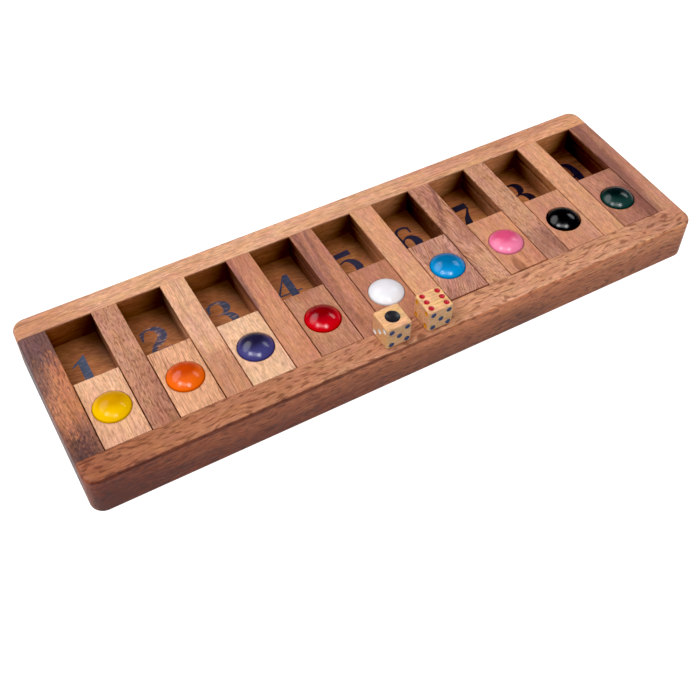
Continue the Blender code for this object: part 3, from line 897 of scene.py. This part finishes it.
def pip_paint(name, colour):
    """The slightly worn paint in a pip."""
    paint = Paint(name)
    dark, light = [scaled(tone(*colour, level=LIGHT_LEVEL), level) for level in PIP_SHADES]
    worn = paint.noise(paint.vector("MULTIPLY", paint.place, (PIP_WEAR_SCALE,) * 3))
    paint.set(
        Base_Color=paint.mix(paint.ramp(worn, *PIP_WEAR_RANGE), dark, light),
        Roughness=paint.ramp(worn, *POLISH_RANGE, *PIP_ROUGHNESS),
        Specular_IOR_Level=PIP_MIRROR,
    )
    return paint.material


def pip_cutter(materials):
    """Balls that mill the pips, each with the material that its hollow gets."""
    shape = bmesh.new()
    for number, normal, across, up in DIE_FACES:
        normal, across, up = Vector(normal), Vector(across), Vector(up)
        wide = (ONE_PIP_DIAMETER if number == 1 else PIP_DIAMETER) * MM
        deep = (ONE_PIP_DEPTH if number == 1 else PIP_DEPTH) * MM
        ball = ((wide / 2) ** 2 + deep**2) / (2 * deep)
        for across_share, up_share in PIP_SHARES[number]:
            place = normal * (DIE_EDGE * MM / 2 + ball - deep)
            place += (across * across_share + up * up_share) * PIP_SPREAD * MM
            turn = normal.to_track_quat("Z", "Y").to_matrix().to_4x4()
            made = bmesh.ops.create_uvsphere(
                shape,
                u_segments=PIP_SIDES,
                v_segments=PIP_RINGS,
                radius=ball,
                matrix=Matrix.Translation(place) @ turn,
            )
            for face in {face for vert in made["verts"] for face in vert.link_faces}:
                face.material_index = number
    return new_object("pip_cutter", new_mesh("pip_cutter", shape, materials))


def die_mesh(materials):
    """A cube with rounded edges and its pips cut in."""
    shape = bmesh.new()
    bmesh.ops.create_cube(shape, size=DIE_EDGE * MM)
    bmesh.ops.bevel(
        shape,
        geom=shape.edges[:],
        offset=DIE_ROUNDING * MM,
        segments=DIE_ROUNDING_STEPS,
        profile=0.5,
        affect="EDGES",
        clamp_overlap=True,
    )
    blank = new_object("die_blank", new_mesh("die_blank", shape, materials))
    cutter = pip_cutter(materials)
    cut = blank.modifiers.new("pips", "BOOLEAN")
    cut.operation = "DIFFERENCE"
    cut.solver = "EXACT"
    cut.material_mode = "TRANSFER"
    cut.object = cutter
    finished = baked(blank)
    bpy.data.objects.remove(blank)
    bpy.data.objects.remove(cutter)
    return finished


DIE_WOOD = {
    "mid": (240, 186, 134), "swing": 0.08, "grain": ALONG_X, "seed": 4.2, "dashes": 0.3, "flush": 1.3,
}


def make_dice():
    materials = [wood("die_wood", DIE_WOOD)]
    materials += [pip_paint(*PIP_COLOURS[number]) for number in sorted(PIP_COLOURS)]
    mesh = die_mesh(materials)
    for name, turn in DIE_TURNS.items():
        low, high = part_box(name)
        obj = new_object(f"wooden_{name}", mesh.copy())
        obj.rotation_euler = Euler((0, math.pi if DIE_FLIPPED[name] else 0, math.radians(turn)))
        obj.location = (low + high) / 2
        soften(obj, weld=False, degrees=DIE_SHARP_ANGLE)
        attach(obj, f"{name}_loose")
        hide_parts(name)


# Numerals, in millimetres from the slot's left side and its front end.
# Each outline is a closed run of points: those marked C are corners, the others lie on round stretches.
C = True
NUMERALS = {
    1: [[
        (10.9, 59.7, C), (10.7, 44.4, C), (12.8, 44.2, C), (12.8, 43.5, C), (4.9, 43.5, C), (4.9, 44.2, C),
        (7.0, 44.4, C), (7.1, 55.7, C), (5.6, 54.7, C), (4.3, 54.3, C), (4.2, 55.0, C), (7.6, 57.4),
    ]],
    2: [[
        (3.9, 58.1, C), (6.6, 59.4), (9.8, 59.8), (12.9, 58.8), (14.9, 55.6), (14.8, 52.2), (12.8, 49.6),
        (9.4, 47.9), (7.4, 46.3, C), (14.9, 46.3, C), (15.2, 43.5, C), (4.2, 43.5, C), (4.3, 44.8),
        (5.5, 46.6), (6.6, 49.0), (8.6, 50.9), (10.4, 53.0), (10.9, 55.3), (10.1, 57.5), (8.1, 58.6),
        (6.2, 57.9, C), (4.5, 53.2, C), (3.9, 53.3, C),
    ]],
    3: [[
        (3.9, 57.9, C), (5.8, 59.1), (8.1, 59.6), (10.8, 59.4), (12.9, 58.3), (14.2, 56.2), (14.1, 53.9),
        (13.0, 52.4), (11.1, 51.6, C), (12.9, 51.1), (14.5, 49.4), (15.1, 46.8), (14.2, 44.6), (11.9, 43.4),
        (8.6, 43.2), (5.6, 43.9), (4.0, 45.4, C), (5.6, 45.6, C), (7.4, 44.4), (9.6, 44.2), (11.3, 45.3),
        (11.4, 47.2), (10.8, 49.2), (9.6, 50.9), (6.8, 51.4, C), (6.9, 51.9, C), (9.6, 52.3), (10.6, 53.6),
        (10.7, 55.4), (9.9, 57.5), (8.1, 58.4), (6.4, 57.9), (5.3, 56.4, C), (4.6, 53.7, C), (3.9, 53.7, C),
    ]],
    4: [[
        (11.1, 59.6, C), (13.3, 59.6, C), (13.3, 48.6, C), (15.8, 48.5, C), (15.8, 47.8, C),
        (13.3, 47.8, C), (13.3, 44.4, C), (15.0, 44.2, C), (15.0, 43.5, C), (7.8, 43.5, C), (7.8, 44.2, C),
        (9.6, 44.4, C), (9.6, 47.8, C), (4.2, 47.8, C), (4.2, 49.3, C),
    ], [
        (5.0, 48.6, C), (9.6, 48.6, C), (9.6, 56.2, C),
    ]],
    5: [[
        (5.8, 59.4, C), (13.6, 59.9, C), (13.8, 56.6, C), (5.8, 56.3, C),
    ], [
        (5.7, 52.7, C), (7.6, 53.9), (9.9, 54.4), (12.3, 53.6), (14.2, 51.8), (15.1, 49.2), (15.0, 46.4),
        (13.6, 44.3), (10.8, 43.3), (7.4, 43.6), (5.2, 45.2, C), (6.3, 46.1, C), (8.0, 44.8), (9.8, 44.7),
        (11.0, 46.1), (11.3, 48.2), (11.0, 50.4), (10.2, 52.2), (8.8, 53.2), (6.6, 52.4, C),
    ]],
    6: [[
        (14.4, 55.2, C), (14.5, 58.8, C), (12.8, 59.9), (10.8, 60.2), (8.4, 59.6), (6.8, 57.8), (6.5, 54.0),
        (6.5, 49.5), (7.0, 46.2), (8.8, 43.9), (11.6, 43.2), (14.3, 44.2), (15.9, 46.9), (15.7, 50.2),
        (14.1, 52.8), (12.0, 53.8), (9.8, 53.4), (7.9, 52.0, C), (7.7, 54.0), (7.9, 57.0), (9.2, 58.5),
        (11.2, 58.8), (12.7, 58.5), (13.4, 57.9, C), (13.4, 55.4, C),
    ], [
        (7.8, 48.8), (8.4, 51.2), (9.8, 52.1), (11.2, 51.6), (11.8, 49.4), (11.5, 46.2), (10.4, 44.5),
        (9.0, 45.1), (8.0, 46.8),
    ]],
    7: [[
        (8.2, 59.9, C), (15.5, 60.1, C), (15.4, 55.9, C), (13.7, 52.6), (12.8, 49.6), (12.3, 46.4),
        (12.3, 43.5, C), (8.1, 43.5, C), (8.4, 46.8), (9.9, 50.4), (12.3, 53.3), (14.6, 56.3, C),
        (8.4, 56.2, C),
    ]],
    8: [[
        (10.6, 60.0), (13.6, 59.4), (15.2, 57.2), (15.2, 54.4), (14.3, 52.7), (12.8, 51.9, C), (14.9, 51.1),
        (16.9, 48.6), (17.0, 45.8), (14.9, 43.7), (11.4, 43.1), (8.0, 43.8), (6.2, 46.0), (6.4, 49.0),
        (8.6, 51.6, C), (7.0, 52.8), (6.3, 55.6), (6.9, 58.2), (8.6, 59.7),
    ], [
        (9.2, 58.9), (10.7, 58.6), (11.7, 56.9), (11.6, 54.8), (11.0, 52.8), (9.9, 51.9), (8.4, 52.5),
        (7.4, 54.4), (7.5, 57.0), (8.2, 58.4),
    ], [
        (9.8, 51.1), (11.5, 50.9), (12.6, 49.5), (13.1, 46.8), (12.6, 44.8), (11.0, 44.1), (9.2, 44.5),
        (7.6, 46.2), (7.6, 48.8), (8.5, 50.6),
    ]],
    9: [[
        (9.6, 59.6), (12.2, 59.6), (14.3, 58.1), (15.5, 55.1), (15.9, 51.0), (15.3, 46.8), (13.1, 44.0),
        (10.0, 43.1), (7.2, 43.7), (6.8, 46.6, C), (7.9, 46.6, C), (8.4, 45.0), (10.0, 44.2), (11.4, 45.2),
        (11.6, 48.3, C), (10.0, 48.5), (8.4, 49.3), (7.0, 51.4), (6.5, 54.6), (7.4, 58.0),
    ], [
        (9.2, 58.8), (10.9, 57.9), (11.8, 55.6), (11.7, 52.4), (11.3, 49.9), (9.8, 49.8), (8.5, 50.9),
        (7.7, 53.6), (8.0, 57.2),
    ]],
}

# Each number's ink: its tone, and how far it has worn
INKS = {
    1: ((80, 88, 112), 0.35),
    2: ((78, 76, 98), 0.62),
    3: ((72, 74, 94), 0.50),
    4: ((62, 66, 88), 0.25),
    5: ((50, 47, 68), 0.1),
    6: ((38, 36, 56), 0.05),
    7: ((34, 31, 44), 0.05),
    8: ((24, 20, 32), 0.05),
    9: ((20, 18, 32), 0.05),
}
INK_SHADES = (0.8, 1.2)
INK_SHADE_RANGE = (0.35, 0.65)
INK_ROUGHNESS = (0.38, 0.55)
INK_MIRROR = 0.3

# Wear of the ink: noise cells per metre along and across the game, the noise's detail and roughness, the
# values between which the ink goes, how far full wear lowers them, and how much of the ink goes there
INK_RUB_SCALE = (260, 900, 900)
INK_RUB_DETAIL = 3
INK_RUB_ROUGHNESS = 0.7
INK_WEAR_RANGE = (0.74, 1.02)
INK_WEAR_SHIFT = 0.45
INK_WEAR_STRENGTH = 0.85


def ink(number):
    """Stamped ink that lets the floor's own grain through where it has worn."""
    paint = Paint(f"number_ink_{number}")
    shade, wear = INKS[number]
    floor = {**WOOD_LOOK, **FLOOR}
    floor_colour, _ = grain_colour(paint, grain_place(paint, floor), floor)
    rubbed = paint.vector("MULTIPLY", paint.place, INK_RUB_SCALE)
    rubbed = paint.noise(rubbed, INK_RUB_DETAIL, INK_RUB_ROUGHNESS)
    dark, light = [tone(*shade, level=LIGHT_LEVEL * level) for level in INK_SHADES]
    colour = paint.mix(paint.ramp(rubbed, *INK_SHADE_RANGE), dark, light)
    start, end = [value - wear * INK_WEAR_SHIFT for value in INK_WEAR_RANGE]
    gone = paint.ramp(rubbed, start, end, 0.0, INK_WEAR_STRENGTH)
    paint.set(
        Base_Color=paint.mix(gone, colour, floor_colour),
        Roughness=paint.ramp(rubbed, *POLISH_RANGE, *INK_ROUGHNESS),
        Specular_IOR_Level=INK_MIRROR,
    )
    return paint.material


def slot_left(number):
    before = "end_block_left" if number == 1 else f"divider_{number - 1}"
    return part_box(before)[1].x


def make_numeral(number):
    """A number printed on the floor of its slot."""
    curve = bpy.data.curves.new(f"numeral_{number}", "CURVE")
    curve.dimensions = "2D"
    curve.fill_mode = "BOTH"
    curve.resolution_u = INK_CURVE_STEPS
    curve.extrude = (INK_ABOVE_FLOOR + INK_BELOW_FLOOR) / 2 * MM
    for outline in NUMERALS[number]:
        spline = curve.splines.new("BEZIER")
        spline.bezier_points.add(len(outline) - 1)
        spline.use_cyclic_u = True
        for point, (x, y, *corner) in zip(spline.bezier_points, outline):
            point.co = (x * MM, y * MM, 0)
            point.handle_left_type = point.handle_right_type = "VECTOR" if corner else "AUTO"
    shape = new_object(f"numeral_{number}_outline", curve)
    obj = new_object(f"printed_number_{number}", baked(shape))
    bpy.data.objects.remove(shape)
    middle = FLOOR_TOP + (INK_ABOVE_FLOOR - INK_BELOW_FLOOR) / 2 * MM
    obj.location = (slot_left(number), SLOT_FRONT, middle)
    bpy.context.view_layer.update()
    obj.data.transform(obj.matrix_world)
    obj.location = (0, 0, 0)
    obj.data.materials.clear()
    obj.data.materials.append(ink(number))
    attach(obj, "tray")


# The first seed of each kind of board
TILE_SEED = 2.0
DIVIDER_SEED = 20.0
BLOCK_SEED = 40.0
RAIL_SEED = 50.0


def dress_boards(boards, grain, first_seed):
    """Gives each board its own wood, with the grain along one axis."""
    for index, (node, spec) in enumerate(boards.items()):
        dress(node, wood(f"{node}_wood", {"grain": grain, "seed": first_seed + index, **spec}, node))


def make_wood():
    tiles = {f"tile_{number}": {"dome": f"dome_{number}", **spec} for number, spec in enumerate(TILES, 1)}
    dividers = {f"divider_{number}": spec for number, spec in enumerate(DIVIDERS, 1)}
    dress_boards(tiles, ALONG_Y, TILE_SEED)
    dress_boards(dividers, ALONG_Y, DIVIDER_SEED)
    dress_boards(BLOCKS, ALONG_Y, BLOCK_SEED)
    dress_boards(RAILS, ALONG_X, RAIL_SEED)
    dress("base_board", wood("floor_wood", FLOOR, "base_board"))


# Lamps: azimuth 0 is behind the game and 90 to its right, and the angles are in degrees. The share is how
# bright the lamp alone makes a level white surface, and the size is in shares of the lamp's distance.
LAMP_DISTANCE = 3.0
LAMPS = {
    "left_softbox": dict(azimuth=-43, elevation=45, share=0.30, size=(0.95, 0.64), shape="ELLIPSE"),
    "front_left_lamp": dict(azimuth=-104, elevation=51, share=0.18, size=(0.30, 0.30)),
    "front_right_lamp": dict(azimuth=-178, elevation=51, share=0.18, size=(0.30, 0.30)),
    "front_bar": dict(azimuth=-141, elevation=56, share=0.18, size=(0.80, 0.26), shape="ELLIPSE"),
    "right_lamp": dict(azimuth=82, elevation=40, share=0.08, size=(0.50, 0.28), shape="ELLIPSE", roll=35),
    "overhead_softbox": dict(azimuth=20, elevation=78, share=0.22, size=(1.20, 1.20), mirrored=False),
}

# Light from all round, below and above, and the heights between which one turns into the other
GLOW_COLOUR = (0.97, 0.98, 1.0, 1)
GLOW_BELOW = 0.36
GLOW_ABOVE = 0.12
GLOW_TURN = (-0.15, 0.15)

# The table: it glows by itself, so that it stays white, and lies just under the tray
TABLE_SIZE = 2.0
TABLE_DROP = 0.1 * MM
TABLE_COLOUR = (0.4, 0.4, 0.4, 1)
TABLE_ROUGHNESS = 0.9
TABLE_GLOW = 0.85

# The light that the picture shows as black
BLACK_LEVEL = 0.008


def make_lamp(name, azimuth, elevation, share, size, shape="DISK", roll=0, mirrored=True):
    """A soft lamp turned towards the game; one that isn't mirrored leaves no highlight."""
    light = bpy.data.lights.new(name, "AREA")
    light.shape = shape
    light.size = size[0] * LAMP_DISTANCE
    if shape == "ELLIPSE":
        light.size_y = size[1] * LAMP_DISTANCE
    across, rise = math.radians(azimuth), math.radians(elevation)
    towards = Vector((math.sin(across) * math.cos(rise), math.cos(across) * math.cos(rise), math.sin(rise)))
    light.energy = share * (math.pi * LAMP_DISTANCE) ** 2 / math.sin(rise)
    obj = new_object(name, light)
    obj.location = towards * LAMP_DISTANCE
    obj.visible_glossy = mirrored
    turn = towards.to_track_quat("Z", "Y").to_matrix() @ Matrix.Rotation(math.radians(roll), 3, "Z")
    obj.rotation_euler = turn.to_euler()


def make_glow():
    """A pale room: brighter below, where the white table throws light back."""
    world = bpy.data.worlds.new("studio")
    world.use_nodes = True
    tree = world.node_tree
    background = tree.nodes["Background"]
    background.inputs["Color"].default_value = GLOW_COLOUR
    place = tree.nodes.new("ShaderNodeTexCoord")
    split = tree.nodes.new("ShaderNodeSeparateXYZ")
    spread = tree.nodes.new("ShaderNodeMapRange")
    spread.inputs["From Min"].default_value = GLOW_TURN[0]
    spread.inputs["From Max"].default_value = GLOW_TURN[1]
    spread.inputs["To Min"].default_value = GLOW_BELOW
    spread.inputs["To Max"].default_value = GLOW_ABOVE
    tree.links.new(place.outputs["Generated"], split.inputs[0])
    tree.links.new(split.outputs["Z"], spread.inputs["Value"])
    tree.links.new(spread.outputs[0], background.inputs["Strength"])
    bpy.context.scene.world = world


def make_table():
    paint = Paint("studio_floor_white")
    paint.set(
        Base_Color=TABLE_COLOUR,
        Roughness=TABLE_ROUGHNESS,
        Specular_IOR_Level=0.0,
        Emission_Color=(1, 1, 1, 1),
        Emission_Strength=TABLE_GLOW,
    )
    shape = bmesh.new()
    bmesh.ops.create_grid(shape, x_segments=1, y_segments=1, size=TABLE_SIZE)
    floor = new_object("studio_floor", new_mesh("studio_floor", shape, [paint.material]))
    floor.location.z = -TABLE_DROP
    floor.visible_diffuse = False


def set_view():
    view = bpy.context.scene.view_settings
    view.view_transform = "Standard"
    view.look = "None"
    view.use_curve_mapping = True
    view.curve_mapping.black_level = (BLACK_LEVEL,) * 3
    view.curve_mapping.update()


def make_camera():
    camera = bpy.data.cameras.new("camera")
    camera.type = "PERSP"
    camera.sensor_width = CAMERA_SENSOR
    camera.lens = CAMERA_LENS
    camera.clip_start = CAMERA_NEAR
    camera.clip_end = CAMERA_FAR
    obj = new_object("camera", camera)
    obj.location = CAMERA_PLACE
    obj.rotation_euler = [math.radians(angle) for angle in CAMERA_TURN]
    bpy.context.scene.camera = obj


make_wood()
for number in range(1, WELL_COUNT + 1):
    make_dome(number)
    make_numeral(number)
make_dice()
for lamp, settings in LAMPS.items():
    make_lamp(lamp, **settings)
make_glow()
make_table()
set_view()
make_camera()
